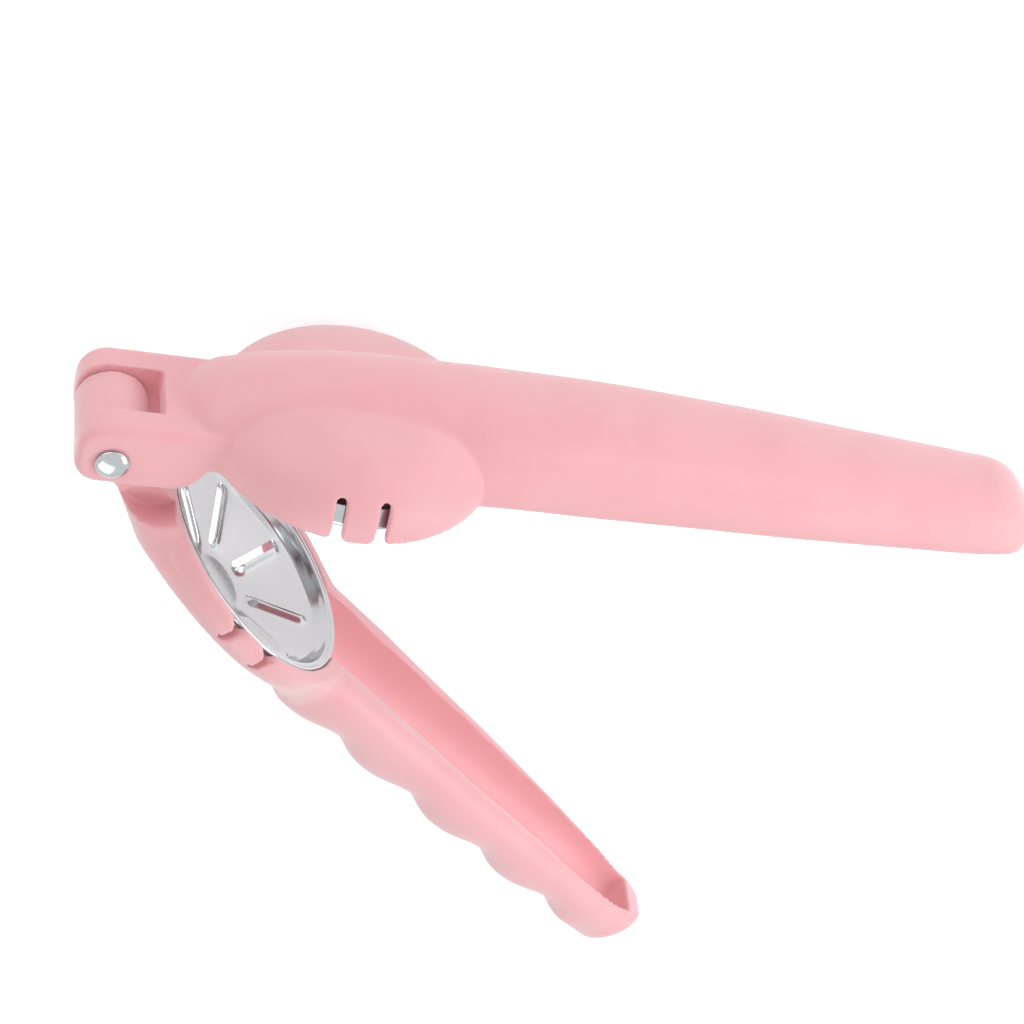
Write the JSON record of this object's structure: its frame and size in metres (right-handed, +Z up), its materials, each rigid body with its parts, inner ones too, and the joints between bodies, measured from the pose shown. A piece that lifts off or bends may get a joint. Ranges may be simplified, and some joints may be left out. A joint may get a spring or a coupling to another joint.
{
  "type": "citrus squeezer",
  "caption": "Hand-held hinged citrus squeezer with two hollow moulded arms, a slotted steel strainer cup in one and a steel press dome in the other.",
  "frame": {"origin": "middle of the footprint, on the surface the tool lies on", "axes": "+X along the upper arm from the hinge to its end, +Y from the lower arm towards the upper arm, +Z up along the hinge axis towards the rivet end that shows from above"},
  "size_m": [0.2134, 0.1686, 0.0632],
  "materials": {
    "arm_plastic": "fine matte moulded plastic",
    "sheet_steel": "polished pressed stainless sheet",
    "rivet_steel": "polished"
  },
  "bodies": {
    "upper": {"upper_arm": "arm_plastic", "press_dome": "sheet_steel", "hinge_pin": "rivet_steel", "hinge_pin_cap": "rivet_steel"},
    "lower": {"lower_arm": "arm_plastic", "strainer_cup": "sheet_steel"}
  },
  "joints": [
    {"name": "arm_hinge", "type": "hinge", "parent": "upper", "child": "lower", "pos_m": [-0.0989, 0.06089, 0.0316], "axis": [0, 0, 1], "range_deg": [-60, 40.6]}
  ]
}
